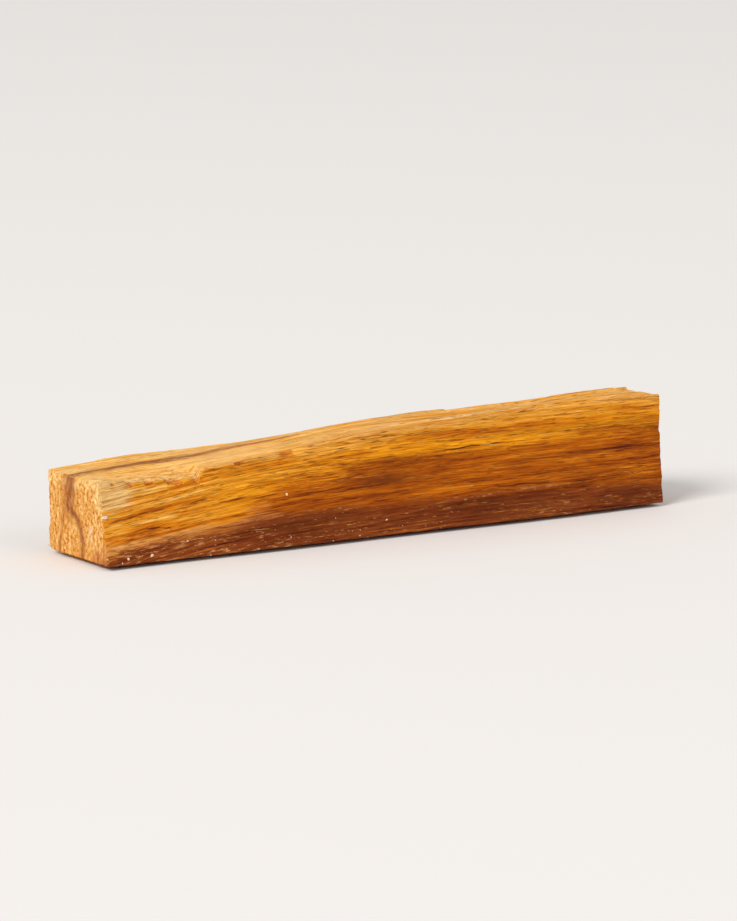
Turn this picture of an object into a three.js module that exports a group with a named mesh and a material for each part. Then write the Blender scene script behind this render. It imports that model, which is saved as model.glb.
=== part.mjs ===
// A palo santo stick: one piece of resinous wood, split from a log along the grain and sawn across at both
// ends. It lies on its flat sawn underside. X runs along the grain from the near end to the far end, Y from
// the front face to the back face, and Z up. It is measured from its front foot at the near end, and is moved
// at the last so that the origin is under its middle. All sizes are in millimetres.
import * as THREE from "three";

// Driving dimensions
const LENGTH = 100;
const WIDTH = 17.8;
const NEAR_HEIGHT = 12.45;
const THICKEST = 17.55;
const ARRIS_RADIUS = 0.45; // the four long edges, worn by handling
const END_ARRIS = 0.3; // the edges round the two sawn ends

// The four long edges, each by points of share of the length, of the width and of the thickest height. The
// stick is a wedge, because it was split a little across its underside: it thickens towards the far end.
const NEAR = NEAR_HEIGHT / THICKEST;
const FRONT_FOOT = [[0, 0, 0], [0.4, 0.012, 0], [0.72, 0.035, 0], [1, 0.07, 0]];
const BACK_FOOT = [[0, 1, 0], [0.3, 0.99, 0], [0.65, 0.965, 0], [1, 0.915, 0]];
const BACK_TOP = [
  [0, 1.01, NEAR - 0.01],
  [0.16, 1, 0.745],
  [0.34, 0.975, 0.8],
  [0.52, 0.955, 0.86],
  [0.76, 0.925, 0.91],
  [1, 0.9, 0.93],
];
const FRONT_TOP = [
  [0, 0.17, NEAR],
  [0.18, 0.158, 0.758],
  [0.33, 0.15, 0.824],
  [0.48, 0.13, 0.915],
  [0.74, 0.115, 0.965],
  [1, 0.13, 1],
];

// The splinter that tore off the front top edge deepens from the near end to a blunt break.
const TEAR = { end: 17, blunt: 1.2, depth: 1.15, reach: 4.4, edge: 1.5 };
// A strip is missing from the back foot, where the outside of the log was.
const WANE = { end: 34, depth: 0.8, reach: 3.6 };
// A splinter is gone from the back top edge near the far end: it broke off bluntly, and tapers out.
const NOTCH = { from: 68, to: 91, blunt: 2.4, depth: 1.3, reach: 3.4, edge: 1.8 };

// The plates and scoops that splitting left on the faces. Each lies along the grain between two places, with
// its steep side on a line that is `at` across the face at the near end and climbs by `climb` for each
// millimetre. It dies away within `reach` of that line, on the side that the sign of the reach says. A scoop
// has a height below nought. The front and back are measured from the foot, and the top from its back edge.
const BACK_PLATES = [
  { from: 5, to: 62, at: 3.1, climb: 0.05, reach: 3.8, height: 0.6 },
  { from: 14, to: 84, at: 8.6, climb: 0.022, reach: -3.4, height: -0.75 },
  { from: 38, to: 112, at: 4.2, climb: 0.045, reach: 3.2, height: 0.7 },
  { from: 6, to: 38, at: 9.8, climb: 0.03, reach: 2.4, height: -0.5 },
  { from: 58, to: 112, at: 1.5, climb: 0.03, reach: 2.8, height: -0.6 },
];
const TOP_PLATES = [
  { from: 20, to: 66, at: 4.8, climb: -0.012, reach: 4.2, height: 0.32 },
  { from: 40, to: 95, at: 8.2, climb: 0.016, reach: 3.4, height: -0.5 },
  { from: 60, to: 112, at: 3.6, climb: 0.012, reach: -3, height: 0.4 },
];
const FRONT_PLATES = [
  { from: -12, to: 48, at: 1.6, climb: 0.075, reach: 3.6, height: 0.2 },
  { from: 24, to: 112, at: 8, climb: 0.035, reach: 4.4, height: -0.3 },
  { from: 52, to: 97, at: 1.8, climb: 0.04, reach: 3.2, height: 0.35 },
];
const PLATE_EDGE = 0.8; // how wide a plate's steep side is
const PLATE_FADE = 8; // how far a plate takes to die away at either end
const CORNER_REACH = 4; // how far into a face the next face's lift is felt

// Both saw cuts lean a little. The far one broke through early and left a lip of wood at the back foot.
const NEAR_LEAN = { across: 0.002, up: 0.004 };
const FAR_LEAN = { across: 0.03, up: 0.02 };
const LIP = { out: 0.8, up: 3.4, across: 9, edge: 1.6 };
const CUT_FADE = 9; // how far along the stick the leaning cuts are felt

// How finely the solid is cut into facets
const STATION_GAP = 2.2; // the most that two sections are apart
const STEPS_ACROSS = 16;
const STEPS_UP = 12;
const CROWDING = 0.55; // how much closer the facets lie near the long edges, from 0 to 1

const { lerp, clamp, smoothstep } = THREE.MathUtils;
const crowded = (t) => lerp(t, (1 - Math.cos(Math.PI * t)) / 2, CROWDING);

// The value of one axis of an edge at a share s of the length, on a smooth curve through the edge's points.
function throughPoints(points, axis, s) {
  const last = points.length - 1;
  const first = clamp(points.findLastIndex((point) => point[0] < s), 0, last - 1);
  const slopeAt = (i) => {
    const [before, after] = [points[Math.max(i - 1, 0)], points[Math.min(i + 1, last)]];
    return (after[axis] - before[axis]) / (after[0] - before[0]);
  };
  const span = points[first + 1][0] - points[first][0];
  const t = (s - points[first][0]) / span;
  const leaving = slopeAt(first) * span * t * (1 - t) ** 2;
  const arriving = slopeAt(first + 1) * span * t ** 2 * (t - 1);
  return lerp(points[first][axis], points[first + 1][axis], smoothstep(t, 0, 1)) + leaving + arriving;
}

function edgeAt(points, x) {
  const s = x / LENGTH;
  return new THREE.Vector2(throughPoints(points, 1, s) * WIDTH, throughPoints(points, 2, s) * THICKEST);
}

// How far the plates and scoops lift a face, at x along it and v across it.
function plateLift(plates, x, v) {
  let lift = 0;
  for (const { from, to, at, climb, reach, height } of plates) {
    const past = (v - at - climb * x) * Math.sign(reach);
    const alongIt = smoothstep(x, from, from + PLATE_FADE) * (1 - smoothstep(x, to - PLATE_FADE, to));
    const steepSide = smoothstep(past, -PLATE_EDGE / 2, PLATE_EDGE / 2);
    const slopingSide = 1 - smoothstep(past, PLATE_EDGE / 2, Math.abs(reach));
    lift += height * alongIt * steepSide * slopingSide;
  }
  return lift;
}

// The slow waviness of a face that followed the grain.
const waviness = (x, v) => 0.12 * Math.sin(x / 7.3 + v / 5.1) + 0.09 * Math.sin(x / 17 - v / 3.7 + 1.3);

// How much wood is gone at x from the front top edge, the back foot and the back top edge.
function tornAt(x) {
  const { end, blunt, depth } = TEAR;
  return depth * clamp(x / end, 0, 1) * (1 - smoothstep(x, end, end + blunt));
}
const wanedAt = (x) => WANE.depth * (1 - smoothstep(x, 0, WANE.end));
function notchedAt(x) {
  const { from, to, blunt, depth } = NOTCH;
  return depth * smoothstep(x, from, from + blunt) * (1 - smoothstep(x, from + blunt, to));
}

// How far each face stands out from the straight line between its corners, at x along it and v across it.
const underLift = (x, v, width) => -wanedAt(x) * smoothstep(v, width - WANE.reach, width);
const backLift = (x, v) => waviness(x, v + 9) + plateLift(BACK_PLATES, x, v);
const frontLift = (x, v, width) => waviness(x, v + 3) + plateLift(FRONT_PLATES, x, width - v);
function topLift(x, v, width) {
  const torn = tornAt(x) * smoothstep(v, width - TEAR.reach, width - TEAR.reach + TEAR.edge);
  const notched = notchedAt(x) * (1 - smoothstep(v, NOTCH.reach - NOTCH.edge, NOTCH.reach));
  return waviness(x, v) + plateLift(TOP_PLATES, x, v) - torn - notched;
}

// The points of one side of a section, up to the next corner. Near a corner the side is rounded, and it is
// carried along by the face that it meets there.
function sidePoints({ from, along, outward, width, liftAt, steps }, carriedAtStart, carriedAtEnd) {
  return Array.from({ length: steps }, (_, i) => {
    const v = crowded(i / steps) * width;
    const nearer = Math.min(v, width - v);
    const aside = Math.max(0, 1 - nearer / ARRIS_RADIUS) * ARRIS_RADIUS * (1 - Math.SQRT1_2);
    const intoRound = Math.max(0, ARRIS_RADIUS - nearer - aside);
    const inward = ARRIS_RADIUS - Math.sqrt(ARRIS_RADIUS ** 2 - intoRound ** 2);
    const point = from.clone().addScaledVector(along, v + (v < width / 2 ? aside : -aside));
    point.addScaledVector(outward, liftAt(v) - inward);
    point.addScaledVector(carriedAtStart, 1 - smoothstep(v, 0, CORNER_REACH));
    return point.addScaledVector(carriedAtEnd, smoothstep(v, width - CORNER_REACH, width));
  });
}

// The ring of points round the section at x: along the underside to the back, up the back, forward over the
// top, and down the front. The feet are only carried sideways, so the underside stays flat.
function ringAt(x) {
  const corners = [FRONT_FOOT, BACK_FOOT, BACK_TOP, FRONT_TOP].map((points) => edgeAt(points, x));
  const lifts = [underLift, backLift, topLift, frontLift];
  const sides = corners.map((from, i) => {
    const to = corners[(i + 1) % 4];
    const width = from.distanceTo(to);
    const along = to.clone().sub(from).normalize();
    const outward = new THREE.Vector2(along.y, -along.x);
    const liftAt = (v) => lifts[i](x, v, width);
    return { from, along, outward, width, liftAt, steps: i % 2 === 0 ? STEPS_ACROSS : STEPS_UP };
  });
  return sides.flatMap((side, i) => {
    const [before, after] = [sides[(i + 3) % 4], sides[(i + 1) % 4]];
    const carriedAtStart = before.outward.clone().multiplyScalar(before.liftAt(before.width));
    const carriedAtEnd = after.outward.clone().multiplyScalar(after.liftAt(0));
    if (i === 0) [carriedAtStart.y, carriedAtEnd.y] = [0, 0];
    return sidePoints(side, carriedAtStart, carriedAtEnd);
  });
}

// The saw cuts move a point of a section along the stick, by less the further it is from an end.
function sawn(x, point) {
  const lowDown = 1 - smoothstep(point.y, LIP.up - LIP.edge, LIP.up);
  const onLip = lowDown * smoothstep(point.x, LIP.across, LIP.across + LIP.edge);
  const nearCut = NEAR_LEAN.across * point.x + NEAR_LEAN.up * point.y;
  const farCut = FAR_LEAN.across * (WIDTH - point.x) + FAR_LEAN.up * point.y + LIP.out * (1 - onLip);
  const fromNear = nearCut * (1 - smoothstep(x, 0, CUT_FADE));
  const fromFar = farCut * smoothstep(x, LENGTH - CUT_FADE, LENGTH);
  return new THREE.Vector3(x + fromNear - fromFar, point.x, Math.max(0, point.y));
}

// The places of the sections: one at each place where an edge changes, and evenly between those.
function stations() {
  const tearEnds = [TEAR.end, TEAR.end + TEAR.blunt];
  const notchEnds = [NOTCH.from, NOTCH.from + NOTCH.blunt, NOTCH.to];
  const changes = [0, END_ARRIS, ...tearEnds, ...notchEnds, LENGTH - END_ARRIS, LENGTH];
  const places = [0];
  for (let i = 1; i < changes.length; i += 1) {
    const parts = Math.ceil((changes[i] - changes[i - 1]) / STATION_GAP);
    for (let k = 1; k <= parts; k += 1) places.push(lerp(changes[i - 1], changes[i], k / parts));
  }
  return places;
}

// The place in a ring of the point on the rim of an end that is i steps across and j steps up.
function placeInRing(i, j) {
  if (j === 0) return i;
  if (i === STEPS_ACROSS) return STEPS_ACROSS + j;
  if (j === STEPS_UP) return 2 * STEPS_ACROSS + STEPS_UP - i;
  return 2 * (STEPS_ACROSS + STEPS_UP) - j;
}

// A point inside a sawn end, stretched between the points of the rim that are level with it and above it.
function insideEnd(ring, i, j) {
  const [u, v] = [crowded(i / STEPS_ACROSS), crowded(j / STEPS_UP)];
  const rim = (across, up) => ring[placeInRing(across, up)].clone();
  const upAndDown = rim(i, 0).lerp(rim(i, STEPS_UP), v);
  const sideToSide = rim(0, j).lerp(rim(STEPS_ACROSS, j), u);
  const low = rim(0, 0).lerp(rim(STEPS_ACROSS, 0), u);
  const high = rim(0, STEPS_UP).lerp(rim(STEPS_ACROSS, STEPS_UP), u);
  return upAndDown.add(sideToSide).sub(low.lerp(high, v));
}

function stickGeometry() {
  const ringLength = 2 * (STEPS_ACROSS + STEPS_UP);
  const points = [];
  const faces = [];
  const quad = (a, b, c, d) => faces.push(a, b, c, a, c, d);

  // The long faces, ring by ring. The end rings are drawn in a little, which rounds the edges of the ends.
  const places = stations();
  const rings = places.map(ringAt);
  for (const ring of [rings[0], rings.at(-1)]) {
    const middle = new THREE.Vector2(WIDTH, NEAR_HEIGHT).multiplyScalar(0.5);
    for (const point of ring) point.lerp(middle, END_ARRIS / point.distanceTo(middle));
  }
  rings.forEach((ring, k) => points.push(...ring.map((point) => sawn(places[k], point))));
  for (let k = 0; k < places.length - 1; k += 1) {
    for (let i = 0; i < ringLength; i += 1) {
      const [here, onward] = [k * ringLength + i, k * ringLength + ((i + 1) % ringLength)];
      quad(here, onward, onward + ringLength, here + ringLength);
    }
  }

  // The two sawn ends, each a grid of points inside its ring.
  for (const k of [0, places.length - 1]) {
    const indexAt = new Map();
    const name = (i, j) => i * (STEPS_UP + 1) + j;
    for (let i = 0; i <= STEPS_ACROSS; i += 1) {
      for (let j = 0; j <= STEPS_UP; j += 1) {
        const inside = i > 0 && i < STEPS_ACROSS && j > 0 && j < STEPS_UP;
        indexAt.set(name(i, j), inside ? points.length : k * ringLength + placeInRing(i, j));
        if (inside) points.push(sawn(places[k], insideEnd(rings[k], i, j)));
      }
    }
    for (let i = 0; i < STEPS_ACROSS; i += 1) {
      for (let j = 0; j < STEPS_UP; j += 1) {
        const round = [name(i, j), name(i + 1, j), name(i + 1, j + 1), name(i, j + 1)];
        const corners = round.map((n) => indexAt.get(n));
        quad(...(k === 0 ? corners.reverse() : corners));
      }
    }
  }

  const geometry = new THREE.BufferGeometry().setFromPoints(points);
  geometry.setIndex(faces);
  geometry.computeBoundingBox();
  const { min, max } = geometry.boundingBox;
  geometry.translate(-(min.x + max.x) / 2, -(min.y + max.y) / 2, -min.z);
  geometry.computeVertexNormals();
  return geometry;
}

const resinousWood = new THREE.MeshStandardMaterial({ color: 0xd18a35, roughness: 0.7, metalness: 0 });
const stick = new THREE.Mesh(stickGeometry(), resinousWood);
stick.name = "stick";

export default new THREE.Group().add(stick);
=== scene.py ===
# A palo santo stick on a pale surface: one piece of resinous wood, split along the grain and sawn at both
# ends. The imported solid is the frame. The wood that stands for it has the same form, with its fibres, tears
# and pores.
import math

import bmesh
import bpy
import numpy as np
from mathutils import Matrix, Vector, noise


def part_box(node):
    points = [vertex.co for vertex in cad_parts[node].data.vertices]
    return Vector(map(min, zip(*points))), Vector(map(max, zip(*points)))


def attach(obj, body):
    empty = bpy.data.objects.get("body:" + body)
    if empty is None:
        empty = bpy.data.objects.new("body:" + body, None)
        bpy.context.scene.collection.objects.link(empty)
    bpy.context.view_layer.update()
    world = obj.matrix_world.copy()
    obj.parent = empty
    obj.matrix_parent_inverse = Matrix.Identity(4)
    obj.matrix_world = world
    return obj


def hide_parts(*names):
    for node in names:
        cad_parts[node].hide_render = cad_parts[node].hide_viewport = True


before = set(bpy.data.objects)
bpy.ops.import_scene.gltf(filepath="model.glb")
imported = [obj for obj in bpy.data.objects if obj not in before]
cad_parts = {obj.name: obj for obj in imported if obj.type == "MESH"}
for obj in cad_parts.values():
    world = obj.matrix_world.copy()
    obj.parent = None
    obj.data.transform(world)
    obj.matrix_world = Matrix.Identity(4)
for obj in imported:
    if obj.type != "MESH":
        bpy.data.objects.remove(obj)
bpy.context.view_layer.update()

# The camera stands where the photograph's camera stood, measured in metres from the stick's near front foot.
# Its lens is longer than the photograph's, so that the one stick fills the picture.
solid_low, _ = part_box("stick")
CAMERA_FROM_NEAR_FOOT = Vector((-0.4045, -0.7174, 0.15805))
LENS = 226
AIM_HEIGHT = 0.0105
camera = bpy.data.objects.new("camera", bpy.data.cameras.new("camera"))
bpy.context.scene.collection.objects.link(camera)
bpy.context.scene.camera = camera
camera.data.lens = LENS
camera.data.sensor_width = 36
camera.location = Vector((solid_low.x, solid_low.y, 0)) + CAMERA_FROM_NEAR_FOOT
aim = Vector((0, 0, AIM_HEIGHT)) - camera.location
camera.rotation_euler = aim.to_track_quat("-Z", "Y").to_euler()


# The stick: one piece of palo santo heartwood, honey gold and oily, with brown resin streaks. It was split
# with the grain from a sawn block, which left long plates and scoops on its faces, and sawn across at both
# ends. A splinter tore off its front top edge, and a strip is missing from its back foot.
MM = 0.001
LENGTH = 100
WIDTH = 17.8
NEAR_HEIGHT = 12.45
THICKEST = 17.55
ARRIS_RADIUS = 0.3
END_ARRIS = 0.2

# The four long edges, by share of the length, of the width and of the thickest height
NEAR = NEAR_HEIGHT / THICKEST
FRONT_FOOT = ((0, 0, 0), (0.4, 0.012, 0), (0.72, 0.035, 0), (1, 0.07, 0))
BACK_FOOT = ((0, 1, 0), (0.3, 0.99, 0), (0.65, 0.965, 0), (1, 0.915, 0))
BACK_TOP = (
    (0, 1.01, NEAR - 0.01),
    (0.16, 1, 0.745),
    (0.34, 0.975, 0.8),
    (0.52, 0.955, 0.86),
    (0.76, 0.925, 0.91),
    (1, 0.9, 0.93),
)
FRONT_TOP = (
    (0, 0.17, NEAR),
    (0.18, 0.158, 0.758),
    (0.33, 0.15, 0.824),
    (0.48, 0.13, 0.915),
    (0.74, 0.115, 0.965),
    (1, 0.13, 1),
)

# What is gone from the edges: a torn splinter, the missing strip, a notch, and chips by their place, length
# and depth
TEAR = {"end": 17, "blunt": 1, "depth": 1.15, "reach": 4.4, "edge": 0.5}
WANE = {"end": 34, "depth": 0.8, "reach": 3.6}
NOTCH = {"start": 68, "end": 91, "blunt": 1.3, "depth": 1.3, "reach": 3.4, "edge": 0.9}
CHIPS = (
    (2.2, 0.4, 0.12),
    (5.2, 0.7, 0.32),
    (8.3, 1.1, 0.26),
    (11.7, 0.8, 0.4),
    (13.1, 1.1, 0.5),
    (16.3, 0.7, 0.55),
    (23.5, 1.2, 0.12),
    (31.5, 1.6, 0.14),
)

# The plates and scoops of the split faces: start and end along the stick, then the line of the steep side by
# its place across the face and its climb, then how far the plate reaches from that line, and its height
BACK_PLATES = (
    (5, 62, 3.1, 0.05, 3.8, 0.6),
    (14, 84, 8.6, 0.022, -3.4, -0.75),
    (38, 112, 4.2, 0.045, 3.2, 0.7),
    (6, 38, 9.8, 0.03, 2.4, -0.5),
    (58, 112, 1.5, 0.03, 2.8, -0.6),
)
TOP_PLATES = (
    (20, 66, 4.8, -0.012, 4.2, 0.32),
    (40, 95, 8.2, 0.016, 3.4, -0.5),
    (60, 112, 3.6, 0.012, -3, 0.4),
)
FRONT_PLATES = (
    (-12, 48, 1.6, 0.075, 3.6, 0.2),
    (24, 112, 8, 0.035, 4.4, -0.3),
    (52, 97, 1.8, 0.04, 3.2, 0.35),
)
PLATE_EDGE = 0.45
PLATE_FADE = 8

# The underside is worn away a little along its edges, which leaves a thin dark gap over the surface
EDGE_RISE = 0.58
EDGE_RISE_REACH = 4

# The saw cuts, as in the solid
NEAR_LEAN = {"across": 0.002, "up": 0.004}
FAR_LEAN = {"across": 0.03, "up": 0.02}
LIP = {"out": 0.8, "up": 3.4, "across": 9, "edge": 0.9}
CUT_FADE = 9

# How finely the wood is drawn: the fibres need 0.15 mm across the grain, and 0.5 mm is enough along it. The
# points are closer together near every edge.
STATIONS = 184
STEPS_ACROSS = 108
STEPS_UP = 92
RIM_STATIONS = (0.05, 0.14, 0.28, 0.45)
CROWDING_ALONG = 0.45
CROWDING_ACROSS = 0.3

# The columns of a section at which three of its corners lie. The front foot is at column 0.
AT_BACK_FOOT = STEPS_ACROSS
AT_BACK_TOP = STEPS_ACROSS + STEPS_UP
AT_FRONT_TOP = 2 * STEPS_ACROSS + STEPS_UP


def smooth(start, end, value):
    """Rises from 0 at start to 1 at end, with soft ends."""
    t = np.clip((value - start) / (end - start), 0, 1)
    return t * t * (3 - 2 * t)


def crowded(t, crowding):
    """Moves evenly spread shares of a length closer together near both of its ends."""
    return t + crowding * ((1 - np.cos(np.pi * t)) / 2 - t)


def through_points(points, column, share):
    """The value of one column at a share of the length, on a smooth curve through the points."""
    points = np.array(points, float)
    places, values = points[:, 0], points[:, column]
    last = len(points) - 1
    first = np.clip(np.searchsorted(places, share) - 1, 0, last - 1)
    before = np.maximum(np.arange(last + 1) - 1, 0)
    after = np.minimum(np.arange(last + 1) + 1, last)
    slopes = (values[after] - values[before]) / (places[after] - places[before])
    span = places[first + 1] - places[first]
    t = (share - places[first]) / span
    rise = smooth(0, 1, t)
    bends = slopes[first] * t * (1 - t) ** 2 + slopes[first + 1] * t**2 * (t - 1)
    return values[first] * (1 - rise) + values[first + 1] * rise + span * bends


def noise_at(points, *sizes):
    """Smooth noise from -1 to 1 at each point, with features of the given sizes along X, Y and Z."""
    scaled = (points / np.array(sizes)).reshape(-1, 3)
    return np.array([noise.noise(Vector(p)) for p in scaled]).reshape(points.shape[:-1])


# The grain rises towards the far end, steeply at first
GRAIN_RISE = ((0, 0), (0.1, 1.25), (0.2, 2.45), (0.3, 3.3), (0.45, 3.95), (0.65, 4.3), (1, 4.2))


def along_grain(points):
    """Points with the rise of the grain taken off, so that a fibre keeps its second and third coordinates."""
    straight = points.copy()
    straight[..., 2] -= through_points(GRAIN_RISE, 1, np.clip(points[..., 0] / LENGTH, 0, 1))
    return straight


def plate_lift(plates, x, v, jag):
    """How far the plates lift a face, at x along it and v across it. Their sides stray with the fibres."""
    lift = 0
    for start, end, at, climb, reach, height in plates:
        past = (v - at - climb * x + jag) * np.sign(reach)
        along_it = smooth(start, start + PLATE_FADE, x) * (1 - smooth(end - PLATE_FADE, end, x))
        steep = smooth(-PLATE_EDGE / 2, PLATE_EDGE / 2, past)
        lift = lift + height * along_it * steep * (1 - smooth(PLATE_EDGE / 2, abs(reach), past))
    return lift


def waviness(x, v):
    """The slow waviness of a face that followed the grain."""
    return 0.12 * np.sin(x / 7.3 + v / 5.1) + 0.09 * np.sin(x / 17 - v / 3.7 + 1.3)


def torn_at(x):
    """How deep the torn splinter was, which broke off short at its end."""
    broken_off = smooth(TEAR["end"], TEAR["end"] + TEAR["blunt"], x)
    return TEAR["depth"] * np.clip(x / TEAR["end"], 0, 1) * (1 - broken_off)


def waned_at(x):
    """How deep the strip is that is missing from the back foot."""
    return WANE["depth"] * (1 - smooth(0, WANE["end"], x))


def notched_at(x):
    """How deep the notch in the back top edge is."""
    deepest = NOTCH["start"] + NOTCH["blunt"]
    return NOTCH["depth"] * smooth(NOTCH["start"], deepest, x) * (1 - smooth(deepest, NOTCH["end"], x))


def chip_field(x, from_edge):
    """How far inside a chip of the front top edge a place is, from 0 to 1, and how deep it is cut there."""
    inside, depth = 0, 0
    for at, length, deep in CHIPS:
        here = 1 - smooth(0.35, 1, np.hypot((x - at) / length, from_edge / (0.75 * length)))
        inside, depth = np.maximum(inside, here), depth + deep * here
    return inside, depth


# Fine dark cracks in the front face, each by its two ends as places along and up, and how dark it is
FRONT_CRACKS = (
    (0.2, 6.75, 8.6, 8.1, 0.75),
    (7.6, 7.95, 10.6, 8.17, 0.6),
    (6.8, 5.5, 9.8, 5.65, 1),
    (9.9, 5.3, 11.4, 5.4, 0.9),
    (12.2, 5.35, 14.2, 5.6, 0.6),
    (14.4, 8.6, 17.8, 8.9, 0.8),
    (19.3, 8.25, 24.4, 8.5, 0.7),
    (36, 7.75, 50, 8.45, 0.8),
    (57, 12.35, 71, 12.65, 1),
    (66, 6.15, 78, 5.85, 0.8),
)


def crack_field(x, up):
    """How far above the nearest crack a place on the front is, and how near and dark that crack is."""
    above, near = np.ones(np.broadcast(x, up).shape), np.zeros(np.broadcast(x, up).shape)
    for x0, up0, x1, up1, darkness in FRONT_CRACKS:
        share = (x - x0) / (x1 - x0)
        from_line = up - up0 - (up1 - up0) * share - 0.06 * np.sin(1.1 * x + x0) - 0.02 * np.sin(2.9 * x)
        open_here = smooth(0, 0.25, share) * (1 - smooth(0.75, 1, share))
        nearness = darkness * open_here * (1 - smooth(0.3, 0.6, np.abs(from_line)))
        above = np.where(nearness > near, from_line, above)
        near = np.maximum(near, nearness)
    return above, near


def splinter_relief(points, roughness):
    """The fibres, grooves and small steps of a split face, in millimetres, scaled by how roughly it split."""
    grain = along_grain(points)
    bundles = 0.12 * (0.3 - np.abs(noise_at(grain, 16, 0.8, 0.8)))
    fibres = 0.1 * (0.3 - np.abs(noise_at(grain + 40, 6, 0.36, 0.36)))
    steps = 2.4 * noise_at(grain + 80, 40, 2.1, 2.1) + 0.5 * noise_at(grain + 120, 12, 0.7, 0.7)
    terraces = 0.11 * (np.floor(steps) + 0.5 + smooth(0.8, 1, steps % 1))
    return roughness * (bundles + fibres + terraces)


# The sections, all at once: a row for each station along the stick. Each side is measured from its first
# corner: along the underside to the back, up the back, forward over the top, and down the front. The back
# split the most roughly, and the underside was sawn.
SIDE_STEPS = (STEPS_ACROSS, STEPS_UP, STEPS_ACROSS, STEPS_UP)
SIDE_ROUGHNESS = (0.12, 1.3, 0.7, 0.6)
middle_stations = crowded(np.linspace(0, 1, STATIONS - 1), CROWDING_ALONG)[1:-1] * LENGTH
rims = np.array(RIM_STATIONS)
inner = middle_stations[(middle_stations > rims[-1] + 0.1) & (middle_stations < LENGTH - rims[-1] - 0.1)]
stations = np.concatenate([[0], rims, inner, LENGTH - rims[::-1], [LENGTH]])
share = stations / LENGTH
corners = [
    np.stack([through_points(edge, 1, share) * WIDTH, through_points(edge, 2, share) * THICKEST], axis=1)
    for edge in (FRONT_FOOT, BACK_FOOT, BACK_TOP, FRONT_TOP)
]
x = stations[:, None]
sides = []
for i, (steps, roughness) in enumerate(zip(SIDE_STEPS, SIDE_ROUGHNESS)):
    start, end = corners[i], corners[(i + 1) % 4]
    width = np.linalg.norm(end - start, axis=1)
    along = (end - start) / width[:, None]
    outward = np.stack([along[:, 1], -along[:, 0]], axis=1)
    t = crowded(np.linspace(0, 1, steps + 1), CROWDING_ACROSS)
    v = t * width[:, None]
    flat = start[:, None] + along[:, None] * v[..., None]
    points = np.dstack([np.broadcast_to(x, v.shape), flat])
    side = {"width": width, "along": along, "outward": outward, "t": t}
    side |= {"over_crack": 1 + 0 * v, "near_crack": 0 * v, "torn": 0 * v, "chip": 0 * v}
    grain = along_grain(points)
    jag = 0.22 * noise_at(grain, 7, 2, 2) + 0.1 * noise_at(grain + 20, 2.5, 0.5, 0.5)
    broken_at = x + noise_at(grain + 60, 5, 1.2, 1.2)
    full = width[:, None]
    if i == 0:
        from_edge = np.minimum(np.minimum(v, full - v), np.minimum(x, LENGTH - x))
        worn_away = EDGE_RISE * (1 - smooth(0, EDGE_RISE_REACH, from_edge))
        lift = -np.maximum(worn_away, waned_at(x) * smooth(full - WANE["reach"], full, v))
    if i == 1:
        lift = waviness(x, v + 9) + plate_lift(BACK_PLATES, x, v, jag) + splinter_relief(points, roughness)
    if i == 2:
        in_tear = smooth(full - TEAR["reach"], full - TEAR["reach"] + TEAR["edge"], v + jag)
        in_notch = 1 - smooth(NOTCH["reach"] - NOTCH["edge"], NOTCH["reach"], v + jag)
        side["chip"], chipped = chip_field(x, full - v)
        gone = torn_at(broken_at) * in_tear + notched_at(broken_at) * in_notch + chipped
        near_tear = in_tear * (1 - smooth(TEAR["end"], TEAR["end"] + TEAR["blunt"], x))
        side["torn"] = np.maximum(near_tear, np.clip(notched_at(x), 0, 1) * in_notch)
        rough = roughness * (1 + 0.8 * side["torn"])
        lift = waviness(x, v) + plate_lift(TOP_PLATES, x, v, jag) + splinter_relief(points, rough) - gone
    if i == 3:
        side["over_crack"], side["near_crack"] = crack_field(x, full - v)
        side["chip"], gone = chip_field(x, v)
        lift = waviness(x, v + 3) + plate_lift(FRONT_PLATES, x, full - v, jag)
        lift += splinter_relief(points, roughness) - gone
    side["lift"] = lift
    sides.append(side)

# Each side is a straight line moved by its own lift. Near a corner it is rounded, and is carried along by the
# side that it meets there, but the feet are only carried sideways.
CORNER_REACH = 4
rounded_sides = []
for i, side in enumerate(sides):
    width, outward, along = side["width"][:, None], side["outward"], side["along"]
    v = side["t"][None, :-1] * width
    nearer = np.minimum(v, width - v)
    corner_noise = np.stack([stations, np.full_like(stations, 7.7 * i), 0 * stations], axis=1)
    ragged = 0.8 * noise_at(corner_noise, 3.5, 1, 1) + 0.6 * noise_at(corner_noise + 60, 0.9, 1, 1)
    radius = ARRIS_RADIUS * np.clip(1 + ragged, 0.3, 2)[:, None]
    aside = np.maximum(0, 1 - nearer / radius) * radius * (1 - math.sqrt(0.5))
    into_round = np.maximum(0, radius - nearer - aside)
    inward = radius - np.sqrt(radius**2 - into_round**2)
    before, after = sides[i - 1], sides[(i + 1) % 4]
    carried_at_start = before["outward"] * before["lift"][:, -1:]
    carried_at_end = after["outward"] * after["lift"][:, :1]
    if i == 0:
        carried_at_start[:, 1] = 0
        carried_at_end[:, 1] = 0
    shares = (
        (v + np.where(v < width / 2, aside, -aside), along),
        (side["lift"][:, :-1] - inward, outward),
        (1 - smooth(0, CORNER_REACH, v), carried_at_start),
        (smooth(width - CORNER_REACH, width, v), carried_at_end),
    )
    rounded_sides.append(corners[i][:, None] + sum(share[..., None] * way[:, None] for share, way in shares))
    side["worn"] = np.pad(1 - smooth(0.1, 0.55, nearer), ((0, 0), (0, 1)))
section = np.concatenate(rounded_sides, axis=1)

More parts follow.
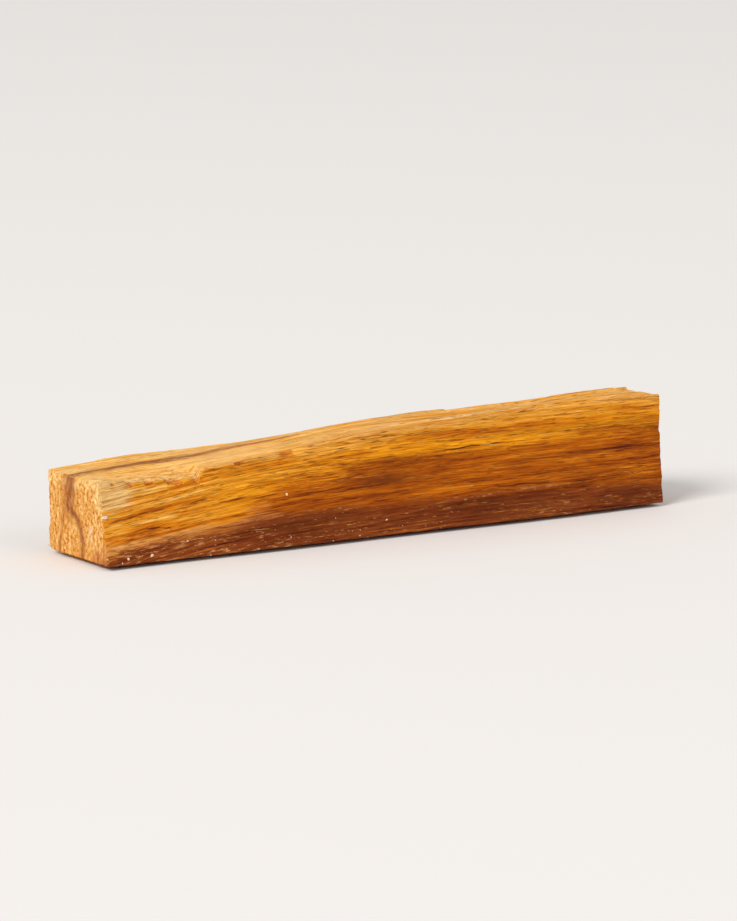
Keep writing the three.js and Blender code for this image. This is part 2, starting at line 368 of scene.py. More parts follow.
# The rims of the two ends are rounded and a little chipped
RING = section.shape[1]
middle = np.array([WIDTH, NEAR_HEIGHT]) / 2
turn = np.linspace(0, 2 * np.pi, RING, endpoint=False)
for end_x, from_end in ((0, stations), (LENGTH, LENGTH - stations)):
    round_the_rim = np.stack([9 * np.cos(turn), 9 * np.sin(turn), np.full(RING, end_x / 3)], axis=1)
    rim = END_ARRIS * (0.75 + 2 * np.clip(noise_at(round_the_rim, 0.7, 0.7, 0.7) - 0.1, 0, 1))
    into_rim = np.clip(rim - from_end[:, None], 0, None)
    inset = rim - np.sqrt(rim**2 - np.minimum(into_rim, rim) ** 2)
    toward_middle = middle - section
    distance = np.linalg.norm(toward_middle, axis=2)
    section = section + toward_middle * (inset / distance)[..., None]


def sawn(along, section):
    """The points of the stick, moved along it by the leaning saw cuts."""
    y, z = section[..., 0], section[..., 1]
    on_lip = 1 - smooth(LIP["up"] - LIP["edge"], LIP["up"], z)
    on_lip *= smooth(LIP["across"], LIP["across"] + LIP["edge"], y)
    near_cut = NEAR_LEAN["across"] * y + NEAR_LEAN["up"] * z
    far_cut = FAR_LEAN["across"] * (WIDTH - y) + FAR_LEAN["up"] * z + LIP["out"] * (1 - on_lip)
    near_share = 1 - smooth(0, CUT_FADE, along)
    far_share = smooth(LENGTH - CUT_FADE, LENGTH, along)
    moved_by = near_cut * near_share - far_cut * far_share
    return np.stack([along + moved_by, y, np.maximum(0, z)], axis=-1)


def place_in_ring(i, j):
    """The place in a ring of the point on an end's rim that is i steps across and j steps up."""
    level = np.where(i == STEPS_ACROSS, AT_BACK_FOOT + j, (RING - j) % RING)
    return np.where(j == 0, i, np.where(j == STEPS_UP, AT_FRONT_TOP - i, level))


def inside_end(ring):
    """The points of a sawn end: a grid stretched between the points of its rim."""
    i, j = np.meshgrid(np.arange(STEPS_ACROSS + 1), np.arange(STEPS_UP + 1), indexing="ij")
    u = crowded(i / STEPS_ACROSS, CROWDING_ACROSS)[..., None]
    v = crowded(j / STEPS_UP, CROWDING_ACROSS)[..., None]
    up_and_down = ring[place_in_ring(i, 0 * j)] * (1 - v) + ring[place_in_ring(i, 0 * j + STEPS_UP)] * v
    side_to_side = ring[place_in_ring(0 * i, j)] * (1 - u) + ring[place_in_ring(0 * i + STEPS_ACROSS, j)] * u
    low = ring[0] * (1 - u) + ring[AT_BACK_FOOT] * u
    high = ring[AT_FRONT_TOP] * (1 - u) + ring[AT_BACK_TOP] * u
    return up_and_down + side_to_side - low * (1 - v) - high * v


# The long faces, then the two ends. The saw left fine lines across each end, and pulled out some of the
# fibres.
SAW_LINE = 0.9
SAW_ANGLE = math.radians(63)
vertices = [sawn(np.broadcast_to(x, section.shape[:2]), section).reshape(-1, 3)]
count = len(vertices[0])
here = np.arange((len(stations) - 1) * RING).reshape(-1, RING)
onward = np.roll(here, -1, axis=1)
faces = [np.stack([here, onward, onward + RING, here + RING], axis=-1).reshape(-1, 4)]
end_of_vertex = [np.zeros(count)]
for row, outward_x in ((0, -1), (len(stations) - 1, 1)):
    grid = inside_end(section[row])
    points = sawn(np.full(grid.shape[:2], stations[row]), grid)
    i, j = np.meshgrid(np.arange(STEPS_ACROSS + 1), np.arange(STEPS_UP + 1), indexing="ij")
    rim_gap = np.minimum(np.minimum(i, STEPS_ACROSS - i), np.minimum(j, STEPS_UP - j)) * 0.15
    over_lines = points[..., 1] * math.cos(SAW_ANGLE) + points[..., 2] * math.sin(SAW_ANGLE)
    lines = 0.014 * np.sin(over_lines / SAW_LINE * 2 * np.pi)
    pulled = 0.06 * noise_at(points + 300, 2, 1.1, 1.1) + 0.025 * noise_at(points + 340, 2, 0.4, 0.4)
    pits = 0.07 * smooth(0.34, 0.55, noise_at(points + 380, 2, 0.6, 0.6))
    points[..., 0] += outward_x * smooth(0, 0.6, rim_gap) * (lines + pulled - pits)
    inside = (i > 0) & (i < STEPS_ACROSS) & (j > 0) & (j < STEPS_UP)
    index = row * RING + place_in_ring(i, j)
    index[inside] = count + np.arange(inside.sum())
    vertices.append(points[inside])
    end_of_vertex.append(np.ones(inside.sum()))
    count += inside.sum()
    quads = np.stack([index[:-1, :-1], index[1:, :-1], index[1:, 1:], index[:-1, 1:]], axis=-1).reshape(-1, 4)
    faces.append(quads if outward_x > 0 else quads[:, ::-1])
vertices = np.concatenate(vertices)
faces = np.concatenate(faces)

wood_mesh = bpy.data.meshes.new("stick_wood")
shift = np.array([solid_low.x / MM - vertices[:, 0].min(), solid_low.y / MM - vertices[:, 1].min(), 0])
wood_mesh.from_pydata(((vertices + shift) * MM).tolist(), [], faces.tolist())
wood_mesh.shade_smooth()
stick_wood = bpy.data.objects.new("stick_wood", wood_mesh)
bpy.context.scene.collection.objects.link(stick_wood)

# What the finish needs to know at each point of the wood. The dark heart lies low at the front: its upper
# edge follows these heights on the front face, by share of the length, and drops towards the back. Above it
# is a paler brown, as far as the second line, and honey gold above that.
DARK_HEART = (
    (0, 1.5),
    (0.085, 2.65),
    (0.175, 3.4),
    (0.215, 3.5),
    (0.265, 4.95),
    (0.4, 4.95),
    (0.7, 4.8),
    (1, 3.8),
)
BROWN_EDGE = (
    (0, 3.1),
    (0.12, 4.45),
    (0.22, 6.3),
    (0.26, 7.5),
    (0.3, 8.9),
    (0.35, 9.7),
    (0.4, 10),
    (0.45, 11.4),
    (0.7, 12.4),
    (1, 12.6),
)
ARRIS_HEIGHT = [(place, up) for place, _, up in FRONT_TOP]

# The darkest cores of the heart and of the brown: place, height, half length and half height. The first, low
# at 33 mm, is partly dark heartwood and partly painted shade.
DARK_CORES_AND_SHADE = ((33, 3.4, 11, 2.1), (47, 9, 7, 1), (66, 2.9, 13, 1.7), (92, 2.5, 9, 1.3))

# A pale scrape low on the near end, where the saw lifted the fibres
SCRAPE = {"across": 5.5, "up": 4.6, "width": 0.8, "height": 1.4}

# Places on the scale of wood tones below
GOLD = 0.58
CREAM = 0.84


def height_along(curve):
    """The height of a curve over each point of the wood."""
    return through_points(curve, 1, np.clip(vertices[:, 0] / LENGTH, 0, 1))


grain = along_grain(vertices)
x, y, z = vertices.T

# The heart and the brown, by how far a point is below their edges, which wander with the grain. Both turn
# paler near the sawn near end. The tan shows over the heart's edge in the near third of the stick.
wander = 0.5 * noise_at(grain + 500, 22, 2.6, 2.6)
heart = height_along(DARK_HEART) - z - 0.7 * (y - 1.5) + wander
tan = heart + 1.6 + 0.8 * (1 - smooth(5, 14, x)) - 3 * smooth(26, 36, x)
heart = heart - 0.6 * (1 - smooth(0.5, 3, x))
brown = height_along(BROWN_EDGE) - z - 0.15 * (y - 1.5) - 0.035 * np.maximum(0, y - 1.5) ** 2
brown += (1.6 + 3 * smooth(3, 8, y)) * wander - 1.3 * (1 - smooth(19, 28, x))
core_and_painted_shade = [1.2 - np.hypot((x - at) / length, (z - up) / high) for at, up, length, high in DARK_CORES_AND_SHADE]
core_and_painted_shade = np.max(core_and_painted_shade, axis=0) - 0.3 * np.maximum(0, y - 1.5)

# The dry parts: the worn top, and a straw coloured corner of the front beside the near end
on_top = smooth(10, 12.5, z - 0.035 * x) * smooth(2.4, 4.5, y)
straw = (1 - smooth(1.5, 6.8, x)) * smooth(7.7, 10, z) * (1 - smooth(3, 5, y))
dry = np.maximum(0.6 * on_top * (1 - smooth(30, 70, x)), straw)

# The tone of the gold: cream on the top, and paler beside the sawn near end, in the scrape and near the
# arris. A deeper amber lies over it on the front: partly resin-rich wood, and partly painted shade with warm
# bounced light on that face.
on_near_end = x < 0.3
near_arris = z / (height_along(ARRIS_HEIGHT) * THICKEST)
from_scrape = np.hypot((y - SCRAPE["across"]) / SCRAPE["width"], (z - SCRAPE["up"]) / SCRAPE["height"])
tone = GOLD + (CREAM - GOLD) * on_top * (1 - 0.6 * smooth(20, 50, x))
tone += np.where(on_near_end, 0.05 * (1 - smooth(5, 9, y)), 0.07 * (1 - smooth(1.5, 4.5, x)))
tone += 0.22 * (1 - smooth(0.5, 1, from_scrape)) * on_near_end
tone += 0.08 * smooth(0.8, 0.95, near_arris) * smooth(16, 24, x)
amber_and_painted_bounce = smooth(12, 26, x) * (1 - 0.6 * smooth(3, 6, y)) * (1 - 0.5 * smooth(0.78, 0.92, near_arris))


def branch_depth(points, half_width):
    """How deep each point is in a vein that follows a line of the grain: 1 in its middle, 0 at its edge."""
    place = grain[:, 1:]
    nearest = np.full(len(place), 1e9)
    for start, end in zip(np.array(points[:-1], float), np.array(points[1:], float)):
        along = np.clip(((place - start) @ (end - start)) / ((end - start) @ (end - start)), 0, 1)
        nearest = np.minimum(nearest, np.linalg.norm(place - start - along[:, None] * (end - start), axis=1))
    return 1 - nearest / half_width


# The purple brown resin vein, by its places across and up on the near end: it comes down from the top and
# forks. Its trunk is smeared wider on the sawn end itself.
TRUNK = ((11.4, 18), (11.6, 13.6), (11.8, 11.6), (12.1, 7.8))
FRONT_FORK = ((12.1, 7.8), (11, 7.2), (9.25, 6.4), (8.3, 4.5), (7.7, 3), (7.8, 1.7), (8.2, -6))
BACK_FORK = ((12.1, 7.8), (13.3, 7.3), (13.5, 6.3), (13.9, 4.2), (14.6, 2.2), (15.2, -6))
vein = np.maximum(branch_depth(TRUNK, 1.2 + 0.8 * on_near_end), branch_depth(FRONT_FORK, 0.75))
vein = np.maximum(vein, branch_depth(BACK_FORK, 0.6) - 0.35)
vein = np.maximum(vein, -2) - 1.5 * smooth(10, 60, x)

# The growth rings curve round a pith that lies in front of the stick and below it
PITH = (-10, -5)
ring_radius = np.hypot(grain[:, 1] - PITH[0], grain[:, 2] - PITH[1])


def from_sides(name):
    """Values that were worked out for the four sides, as one for each vertex, with nought on the ends."""
    values = np.concatenate([side[name][:, :-1] for side in sides], axis=1)
    return np.concatenate([values.reshape(-1), np.zeros(len(vertices) - values.size)])


end_grain = np.concatenate(end_of_vertex)
attributes = {
    "tone": tone,
    "heart": heart,
    "core_and_painted_shade": core_and_painted_shade,
    "tan": tan,
    "brown": brown,
    "straw": straw,
    "dry": dry,
    "cream": 1.6 * on_top * (1 - smooth(30, 60, x)) - 0.6,
    "oily": 1 - 0.65 * straw,
    "far": smooth(22, 40, x),
    "amber_and_painted_bounce": amber_and_painted_bounce,
    "vein": vein,
    "ring_radius": ring_radius,
    "end_grain": end_grain,
    "gritty": end_grain * (1 - 0.5 * smooth(40, 60, x)),
    "bumpy": 1 - 0.55 * end_grain,
    "long_grain": 1 - end_grain,
    "worn": from_sides("worn"),
    "torn": from_sides("torn"),
    "chip": from_sides("chip"),
    "over_crack": from_sides("over_crack"),
    "near_crack": from_sides("near_crack"),
}
for name, values in attributes.items():
    wood_mesh.attributes.new(name, "FLOAT", "POINT").data.foreach_set("value", values.astype(np.float32))
grain_values = grain.astype(np.float32).ravel()
wood_mesh.attributes.new("grain", "FLOAT_VECTOR", "POINT").data.foreach_set("vector", grain_values)


def linear(hex_colour):
    """An sRGB hex colour as the linear numbers that a shader takes."""
    parts = [int(hex_colour[k : k + 2], 16) / 255 for k in (1, 3, 5)]
    return [p / 12.92 if p <= 0.04045 else ((p + 0.055) / 1.055) ** 2.4 for p in parts] + [1]


def add(tree, kind, inputs, output=0, **settings):
    """Adds a node with its settings, sets or links its inputs, and returns one of its outputs."""
    made = tree.nodes.new("ShaderNode" + kind)
    for name, value in settings.items():
        setattr(made, name, value)
    for socket, value in inputs.items():
        if isinstance(value, bpy.types.NodeSocket):
            tree.links.new(value, made.inputs[socket])
        else:
            made.inputs[socket].default_value = value
    return made.outputs[output]


# Raw split palo santo: an oily tropical hardwood with straight fine fibres and small open pores. Seen close
# it is dull satin, streaked along the grain from straw through honey gold to resin brown, with fine dark pore
# lines and pale lifted fibres. The open fibres hide most of the sheen that a planed face would have.
WOOD_TONES = (
    (0.0, "#4a2008"),
    (0.15, "#7d360a"),
    (0.3, "#aa520a"),
    (0.44, "#d0760c"),
    (0.58, "#e3941c"),
    (0.72, "#e9ab4e"),
    (0.86, "#f2c582"),
    (1.0, "#fae3bb"),
)
wood = bpy.data.materials.new("split_palo_santo")
wood.use_nodes = True
tree = wood.node_tree
shader = tree.nodes["Principled BSDF"]
known = {name: add(tree, "Attribute", {}, "Fac", attribute_name=name) for name in attributes}
place = add(tree, "Attribute", {}, "Vector", attribute_name="grain")

# Patterns from -1 to 1, most of them drawn out along the grain: how long, wide and high their features are in
# millimetres, and their detail. Real fibres are 0.02 mm wide, which is too fine for the picture, so they are
# drawn in bundles of 0.17 mm.
PATTERNS = {
    "broad": (45, 2.4, 2.4, 2),
    "streaks": (17, 0.6, 0.6, 3),
    "fibres": (5, 0.17, 0.17, 2),
    "lines": (36, 0.45, 0.45, 1),
    "flecks": (2.6, 0.3, 0.3, 1),
    "lifted": (3.2, 0.32, 0.32, 1),
    "speckle": (1.5, 0.24, 0.24, 2),
    "grit": (1.5, 0.6, 1.3, 3),
}
for name, (length, width, height, detail) in PATTERNS.items():
    scaled = add(tree, "VectorMath", {0: place, 1: (1 / length, 1 / width, 1 / height)}, operation="MULTIPLY")
    inputs = {"Vector": scaled, "Scale": 1, "Detail": detail, "Roughness": 0.6}
    known[name] = add(tree, "TexNoise", inputs, normalize=False)

# Dark flecks and pale lifted fibres show where their noise is strong, and fine dark lines where it crosses
# nought, in some places only. The sawn ends have no flecks or lines, but grit where the saw tore the fibres,
# less of it on the far end. The dry straw wood has weaker streaks.
known["lines"] = add(tree, "Math", {0: known["lines"]}, operation="ABSOLUTE")
for name, start, full in (("flecks", 0.3, 0.6), ("lifted", 0.3, 0.62), ("lines", 0.14, 0.02)):
    inputs = {0: known[name], 1: start, 2: full}
    known[name] = add(tree, "MapRange", inputs, interpolation_type="SMOOTHSTEP")
known["some"] = add(tree, "MapRange", {0: known["broad"], 1: -0.3, 2: 0.3}, interpolation_type="SMOOTHSTEP")
LIMITS = {
    "lines": ("some", "long_grain"),
    "flecks": ("long_grain",),
    "grit": ("gritty",),
    "streaks": ("oily",),
}
for name, limits in LIMITS.items():
    for limit in limits:
        known[name] = add(tree, "Math", {0: known[name], 1: known[limit]}, operation="MULTIPLY")

# Growth rings 1.25 mm apart, and pores 0.4 mm apart that are 3 mm long
RING_GAP = 1.25
PORE_GAP = 0.42
PORE_LENGTH = 3
phase = add(tree, "Math", {0: known["ring_radius"], 1: 2 * math.pi / RING_GAP}, operation="MULTIPLY")
for name, weight in (("broad", 3.5), ("streaks", 1.2)):
    phase = add(tree, "Math", {0: known[name], 1: weight, 2: phase}, operation="MULTIPLY_ADD")
phase = add(tree, "Math", {0: phase}, operation="SINE")
known["rings"] = add(tree, "MapRange", {0: phase, 1: 0.2, 2: 1}, interpolation_type="SMOOTHSTEP")
pore_scale = (1 / PORE_LENGTH, 1 / PORE_GAP, 1 / PORE_GAP)
scaled = add(tree, "VectorMath", {0: place, 1: pore_scale}, operation="MULTIPLY")
from_pore = add(tree, "TexVoronoi", {"Vector": scaled, "Scale": 1})
known["pores"] = add(tree, "MapRange", {0: from_pore, 1: 0.28, 2: 0.1}, interpolation_type="SMOOTHSTEP")

# The honey gold wood under everything, how much the patterns shade the wood that lies over it, and the relief
SUMS = {
    "gold": {
        "tone": 1,
        "broad": 0.15,
        "streaks": 0.27,
        "fibres": 0.15,
        "rings": -0.05,
        "pores": -0.08,
        "lifted": 0.08,
        "grit": 0.22,
        "worn": 0.09,
        "torn": 0.1,
        "end_grain": 0.1,
    },
    "shade": {"long_grain": 1, "end_grain": 1, "streaks": 0.7, "fibres": 0.45, "lifted": 0.25, "grit": 0.5},
    "relief": {
        "fibres": 0.5,
        "streaks": 0.3,
        "pores": -0.4,
        "lines": -0.5,
        "flecks": -0.4,
        "lifted": 0.4,
        "grit": 0.2,
    },
    "pale_fleck": {"speckle": 1.5, "streaks": 0.5, "broad": 0.5, "far": -0.5},
    "dark_mark": {"lines": 0.42, "flecks": 0.46, "pores": 0.06, "dry": -0.4},
    "crack_edge": {"over_crack": 1, "fibres": 0.1},
}
for name, parts in SUMS.items():
    total = 0
    for part, weight in parts.items():
        total = add(tree, "Math", {0: known[part], 1: weight, 2: total}, operation="MULTIPLY_ADD")
    known[name] = total

# The resin takes more green and blue than red, so the darker a streak is, the redder it looks
shades = [add(tree, "Math", {0: known["shade"], 1: power}, operation="POWER") for power in (0.8, 1.25, 1.7)]
resin_shade = add(tree, "CombineColor", dict(enumerate(shades)))
colour = add(tree, "ValToRGB", {0: known["gold"]})
stops = colour.node.color_ramp.elements
stops.remove(stops[1])
for spot, tint in WOOD_TONES[1:]:
    stops.new(spot).color = linear(tint)
stops[0].color = linear(WOOD_TONES[0][1])

# The other woods over the gold, from the duller end grain and the cream of the worn top to the chips. The
# amber, the darkest core and the chips are partly painted shade. Each row gives how far the streaks, the
# fibres and the broad bands push the edge of each, where that edge starts and ends, how much it covers, and
# its tint
ZONES = (
    ("end_grain", 0, 0, 0, 0, 1, 0.5, "#cb9458"),
    ("cream", 1.5, 1.2, 0.6, 0.3, 1.1, 0.7, "#f6b353"),
    ("straw", 0.15, 0, 0, 0, 0.55, 0.92, "#e4b671"),
    # Amber: resin-rich wood, and partly painted shade with warm bounced light
    ("amber_and_painted_bounce", 0.5, 0, 0.3, 0, 1.1, 0.85, "#da8507"),
    ("brown", 1.5, 0.8, 1.2, -0.15, 0.45, 0.9, "#a34c02"),
    ("tan", 1.6, 1.2, 0.6, -0.5, 0.9, 0.65, "#bf7c43"),
    ("heart", 1.2, 0.8, 0, -0.2, 0.4, 0.95, "#833c13"),
    # The darkest cores: dark heartwood, the first of them partly painted shade
    ("core_and_painted_shade", 1.2, 0.8, 0, 0, 1.2, 0.8, "#5c2509"),
    ("vein", 0.9, 0.7, 0.4, -0.2, 0.9, 0.9, "#92532b"),
    # The chips: partly the fresh wood inside them, and partly painted shade in their hollows
    ("chip", 0.3, 0.6, 0, 0.2, 0.75, 0.8, "#c2640f"),
)
for name, by_streaks, by_fibres, by_bands, start, full, most, tint in ZONES:
    edge = known[name]
    for pattern, weight in (("streaks", by_streaks), ("fibres", by_fibres), ("broad", by_bands)):
        edge = add(tree, "Math", {0: known[pattern], 1: weight, 2: edge}, operation="MULTIPLY_ADD")
    inputs = {0: edge, 1: start, 2: full, 3: 0, 4: most}
    cover = add(tree, "MapRange", inputs, interpolation_type="SMOOTHSTEP")
    inputs = {0: 1, 6: linear(tint), 7: resin_shade}
    shaded = add(tree, "Mix", inputs, 2, data_type="RGBA", blend_type="MULTIPLY")
    colour = add(tree, "Mix", {0: cover, 6: colour, 7: shaded}, 2, data_type="RGBA")
    if name == "heart":
        inputs = {0: known["pale_fleck"], 1: 0.22, 2: 0.8, 3: 0, 4: 0.85}
        fleck = add(tree, "MapRange", inputs, interpolation_type="SMOOTHSTEP")
        fleck = add(tree, "Math", {0: fleck, 1: cover}, operation="MULTIPLY")
        colour = add(tree, "Mix", {0: fleck, 6: colour, 7: linear("#c9905a")}, 2, data_type="RGBA")

# Dark red-brown lines and flecks, where the pores are full of resin. The cracks are narrower and darker.
colour = add(tree, "Mix", {0: known["dark_mark"], 6: colour, 7: linear("#6a2a0a")}, 2, data_type="RGBA")
crack_edge = add(tree, "Math", {0: known["crack_edge"]}, operation="ABSOLUTE")
in_crack = add(tree, "MapRange", {0: crack_edge, 1: 0.17, 2: 0.04}, interpolation_type="SMOOTHSTEP")
in_crack = add(tree, "Math", {0: in_crack, 1: known["near_crack"]}, operation="MULTIPLY")
colour = add(tree, "Mix", {0: in_crack, 6: colour, 7: linear("#571d06")}, 2, data_type="RGBA")
relief = add(tree, "Math", {0: in_crack, 1: -0.4, 2: known["relief"]}, operation="MULTIPLY_ADD")
bump = add(tree, "Bump", {"Height": relief, "Strength": known["bumpy"], "Distance": 0.11 * MM})
satin = add(tree, "MapRange", {0: known["streaks"], 1: -0.5, 2: 0.5, 3: 0.64, 4: 0.78})
tree.links.new(colour, shader.inputs["Base Color"])
tree.links.new(satin, shader.inputs["Roughness"])
tree.links.new(bump, shader.inputs["Normal"])
shader.inputs["IOR"].default_value = 1.5
shader.inputs["Specular IOR Level"].default_value = 0.1
wood_mesh.materials.append(wood)
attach(stick_wood, "root")
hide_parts("stick")

# Torn fibres: slivers of the same wood that splitting and sawing left half torn off. They lie along the grain
# with one end still in the wood and the other bent off it, and are drier and paler than the oily wood under
# them.
FIBRE_STEPS = 7

# Where they are: in the tear, along the front arris, on the front, on the back, on the top and in the notch.
# Each row gives the first and last place along, the first and last column of the sections, how many there
# are, how long the longest is and how high it lifts.
FIBRE_PLACES = (
    (0.6, 11.5, AT_FRONT_TOP - 24, AT_FRONT_TOP - 3, 30, 4, 0.22),
    (4, 92, AT_FRONT_TOP - 5, AT_FRONT_TOP + 3, 20, 4, 0.14),
    (5, 90, AT_FRONT_TOP + 6, RING - 8, 14, 6, 0.07),
    (6, 88, AT_BACK_FOOT + 4, AT_BACK_TOP - 4, 44, 11, 0.5),
    (12, 92, AT_BACK_TOP + 12, AT_FRONT_TOP - 10, 26, 8, 0.16),
    (70, 87, AT_BACK_TOP + 2, AT_BACK_TOP + 22, 20, 4, 0.35),
)

# More stand in bunches round the rims of the sawn ends
RIM_FIBRES = 80
RIM_BUNCHES = 16
chance = np.random.default_rng(11)
surface = vertices[: len(stations) * RING].reshape(len(stations), RING, 3)
across_surface = np.roll(surface, -2, axis=1) - np.roll(surface, 2, axis=1)
across_surface /= np.linalg.norm(across_surface, axis=2)[..., None]
out_of_surface = np.cross(across_surface, np.gradient(surface, axis=0))
out_of_surface /= np.linalg.norm(out_of_surface, axis=2)[..., None]
middle_of_top = (AT_BACK_TOP + AT_FRONT_TOP) // 2
if out_of_surface[len(stations) // 2, middle_of_top, 2] < 0:
    out_of_surface = -out_of_surface


def followed(field, column, places):
    """A field of the surface along one column of the sections, at places along the stick."""
    return np.stack([np.interp(places, stations, field[:, column, k]) for k in range(3)], axis=1)


def fibre_strips():
    """For each fibre: its middle line, the ways across it and out of the wood, its half width and tone."""
    t = np.linspace(0, 1, FIBRE_STEPS)[:, None]
    for first, last, low_column, high_column, count, longest, highest in FIBRE_PLACES:
        for _ in range(count):
            column = int(chance.integers(low_column, high_column)) % RING
            length, lift = longest * chance.uniform(0.25, 1), highest * chance.uniform(0.2, 1)
            places = np.clip(chance.uniform(first, last) + length * t[:, 0], 0.3, LENGTH - 0.3)
            across, outward = (followed(field, column, places) for field in (across_surface, out_of_surface))
            drift = chance.uniform(-0.06, 0.06) * length
            line = followed(surface, column, places) + outward * (lift * t**1.8 - 0.05) + across * drift * t
            half_width = chance.uniform(0.04, 0.12)
            yield line, across, outward, half_width, 0.034 * line[0, 2] + chance.uniform(0, 0.28)
    bunches = chance.integers(0, RING, RIM_BUNCHES)
    for _ in range(RIM_FIBRES):
        column = int(chance.choice(bunches) + chance.normal(0, 7)) % RING
        row = int(chance.choice((1, len(stations) - 2)))
        length = chance.uniform(0.1, 0.6) * (-1 if row == 1 else 1)
        across, outward = across_surface[row, column], out_of_surface[row, column]
        bend = (outward * chance.uniform(-0.1, 0.25) + across * chance.uniform(-0.3, 0.3)) * abs(length)
        line = surface[row, column] - 0.04 * outward + np.array([length, 0, 0]) * t + bend * t**2
        line[:, 2] = np.maximum(line[:, 2], 0.08)
        half_width = chance.uniform(0.04, 0.1)
        yield line, across[None], outward[None], half_width, 0.05 * line[0, 2] + chance.uniform(0.1, 0.5)


fibre_vertices, fibre_faces, fibre_tones = [], [], []
for line, across, outward, half_width, tone_of_fibre in fibre_strips():
    base = 4 * FIBRE_STEPS * len(fibre_vertices)
    taper = half_width * (1.02 - np.linspace(0, 1, FIBRE_STEPS)[:, None]) ** 0.6
    wide, high = across * taper, outward * taper * 0.6
    rings_of_fibre = np.stack([line + wide, line + high, line - wide, line - high], axis=1)
    fibre_vertices.append(rings_of_fibre.reshape(-1, 3))
    fibre_tones += [tone_of_fibre] * (4 * FIBRE_STEPS)
    for k in range(FIBRE_STEPS - 1):
        for side_of_fibre in range(4):
            here, onward = base + 4 * k + side_of_fibre, base + 4 * k + (side_of_fibre + 1) % 4
            fibre_faces.append((here, onward, onward + 4, here + 4))
    fibre_faces.append((base + 3, base + 2, base + 1, base))
    tip = base + 4 * (FIBRE_STEPS - 1)
    fibre_faces.append((tip, tip + 1, tip + 2, tip + 3))
fibre_mesh = bpy.data.meshes.new("torn_fibres")
fibre_mesh.from_pydata(((np.concatenate(fibre_vertices) + shift) * MM).tolist(), [], fibre_faces)
fibre_attribute = fibre_mesh.attributes.new("tone", "FLOAT", "POINT")
fibre_attribute.data.foreach_set("value", np.array(fibre_tones, np.float32))
torn_fibres = bpy.data.objects.new("torn_fibres", fibre_mesh)
bpy.context.scene.collection.objects.link(torn_fibres)

# Dry torn fibre: matt and pale straw where it has lifted off gold wood, and a light brown off the dark heart
FIBRE_TONES = ((0.1, "#96602f"), (0.45, "#d39a4c"), (0.8, "#ecc583"), (1.0, "#f7e2b6"))
dry_fibre = bpy.data.materials.new("dry_torn_fibre")
dry_fibre.use_nodes = True
tree = dry_fibre.node_tree
shader = tree.nodes["Principled BSDF"]
own_tone = add(tree, "Attribute", {}, "Fac", attribute_name="tone")
place = add(tree, "TexCoord", {}, "Object")
spots = add(tree, "TexNoise", {"Vector": place, "Scale": 1 / (0.6 * MM), "Detail": 2}, normalize=False)
spotted = add(tree, "Math", {0: spots, 1: 0.3, 2: own_tone}, operation="MULTIPLY_ADD")
colour = add(tree, "ValToRGB", {0: spotted})
stops = colour.node.color_ramp.elements
stops.remove(stops[1])
for spot, tint in FIBRE_TONES[1:]:
    stops.new(spot).color = linear(tint)
stops[0].position = FIBRE_TONES[0][0]
stops[0].color = linear(FIBRE_TONES[0][1])
tree.links.new(colour, shader.inputs["Base Color"])
shader.inputs["Roughness"].default_value = 0.8
shader.inputs["Specular IOR Level"].default_value = 0.15
fibre_mesh.materials.append(dry_fibre)
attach(torn_fibres, "root")


# Pale crumbs: specks of wood dust from sawing, pressed into the oily front face. These larger ones show in
# the photograph, by their places along and up and their sizes. Finer dust lies along the dark heart.
CRUMBS = (
    (0.35, 7.75, 0.36),
    (31.3, 8.15, 0.22),
    (7.2, 1.65, 0.26),
    (3.4, 1.45, 0.22),
    (13.4, 3.15, 0.14),
    (18.2, 2.75, 0.13),
)
DUST = 38
crumb_spots = list(CRUMBS)
for _ in range(DUST):
    up = 0.6 + 3.6 * chance.random() ** 1.2
    crumb_spots.append((chance.uniform(1, 60), up, 0.04 + 0.08 * chance.random() ** 3))
front_surface, front_out = surface[:, AT_FRONT_TOP:], out_of_surface[:, AT_FRONT_TOP:]
crumb_mesh = bpy.data.meshes.new("pale_crumbs")
shaping = bmesh.new()
for along, up, size in crumb_spots:
    miss = np.abs(front_surface[..., 0] - along) + np.abs(front_surface[..., 2] - up)
    row, column = np.unravel_index(miss.argmin(), miss.shape)
    middle_of_crumb = front_surface[row, column] + 0.1 * size * front_out[row, column]
    made = bmesh.ops.create_icosphere(shaping, subdivisions=2, radius=1)["verts"]
    squash = np.array([chance.uniform(0.75, 1.15), 0.5, chance.uniform(0.7, 1)])
    for vertex in made:
        lump = 1 + 0.9 * noise.noise(vertex.co * 1.3 + Vector((along, up, 0)))
        vertex.co = Vector((middle_of_crumb + np.array(vertex.co) * lump * squash * size + shift) * MM)
shaping.to_mesh(crumb_mesh)
shaping.free()
pale_crumbs = bpy.data.objects.new("pale_crumbs", crumb_mesh)
bpy.context.scene.collection.objects.link(pale_crumbs)

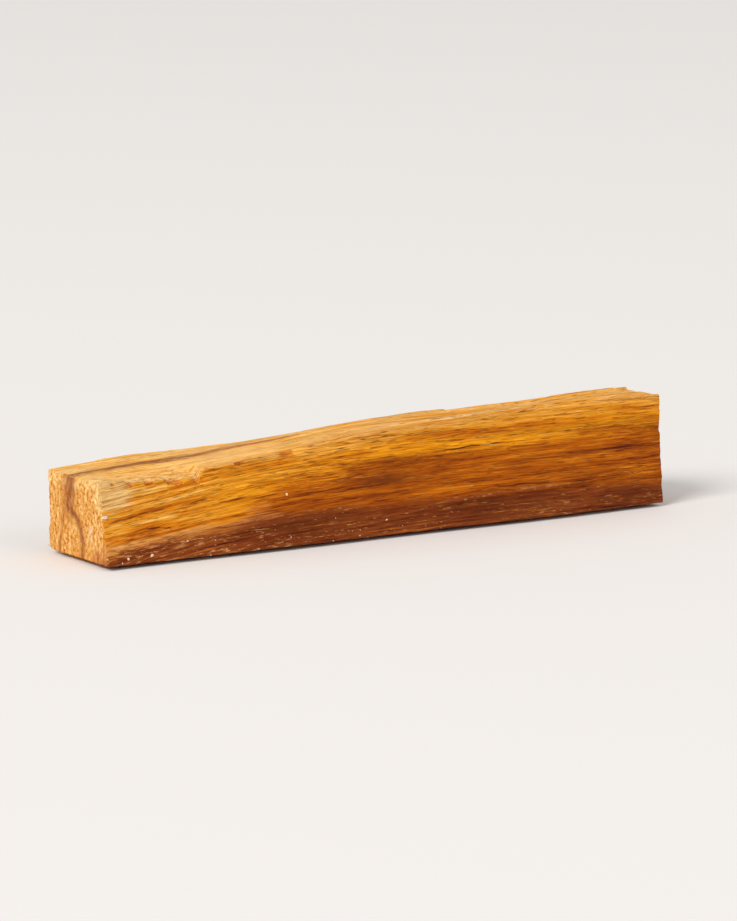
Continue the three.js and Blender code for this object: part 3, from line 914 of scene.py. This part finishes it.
# Dry sapwood dust: matt, nearly white
dust = bpy.data.materials.new("pale_wood_dust")
dust.use_nodes = True
tree = dust.node_tree
shader = tree.nodes["Principled BSDF"]
place = add(tree, "TexCoord", {}, "Object")
spots = add(tree, "TexNoise", {"Vector": place, "Scale": 1 / (0.2 * MM), "Detail": 2})
colour = add(tree, "Mix", {0: spots, 6: linear("#c99a62"), 7: linear("#fff4e2")}, 2, data_type="RGBA")
tree.links.new(colour, shader.inputs["Base Color"])
shader.inputs["Roughness"].default_value = 0.9
crumb_mesh.materials.append(dust)
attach(pale_crumbs, "root")


# The stage: a wide pale surface, a large soft light high on the left, a weaker one in front, and a pale room
floor_mesh = bpy.data.meshes.new("floor")
HALF = 4
floor_corners = [(-HALF, -HALF, 0), (HALF, -HALF, 0), (HALF, HALF, 0), (-HALF, HALF, 0)]
floor_mesh.from_pydata(floor_corners, [], [(0, 1, 2, 3)])
floor = bpy.data.objects.new("floor", floor_mesh)
bpy.context.scene.collection.objects.link(floor)
paper = bpy.data.materials.new("matt_white_surface")
paper.use_nodes = True
paper.node_tree.nodes["Principled BSDF"].inputs["Base Color"].default_value = linear("#e9e7e5")
paper.node_tree.nodes["Principled BSDF"].inputs["Roughness"].default_value = 0.9
floor_mesh.materials.append(paper)

LIGHTS = (
    ("key", (-4.2, -1.6, 3.6), 2.8, 242, "#fffcf8"),
    ("fill", (0.9, -3.9, 2.3), 2.6, 30, "#fffefd"),
)
for name, spot, size, power, tint in LIGHTS:
    light = bpy.data.objects.new(name, bpy.data.lights.new(name, "AREA"))
    light.data.shape = "DISK"
    light.data.size = size
    light.data.energy = power
    light.data.color = linear(tint)[:3]
    light.location = spot
    light.rotation_euler = (Vector((0, 0, 0)) - light.location).to_track_quat("-Z", "Y").to_euler()
    bpy.context.scene.collection.objects.link(light)
room = bpy.data.worlds.new("pale_room")
room.use_nodes = True
room.node_tree.nodes["Background"].inputs["Color"].default_value = linear("#fbf9f8")
room.node_tree.nodes["Background"].inputs["Strength"].default_value = 0.61
bpy.context.scene.world = room
bpy.context.scene.view_settings.view_transform = "Standard"
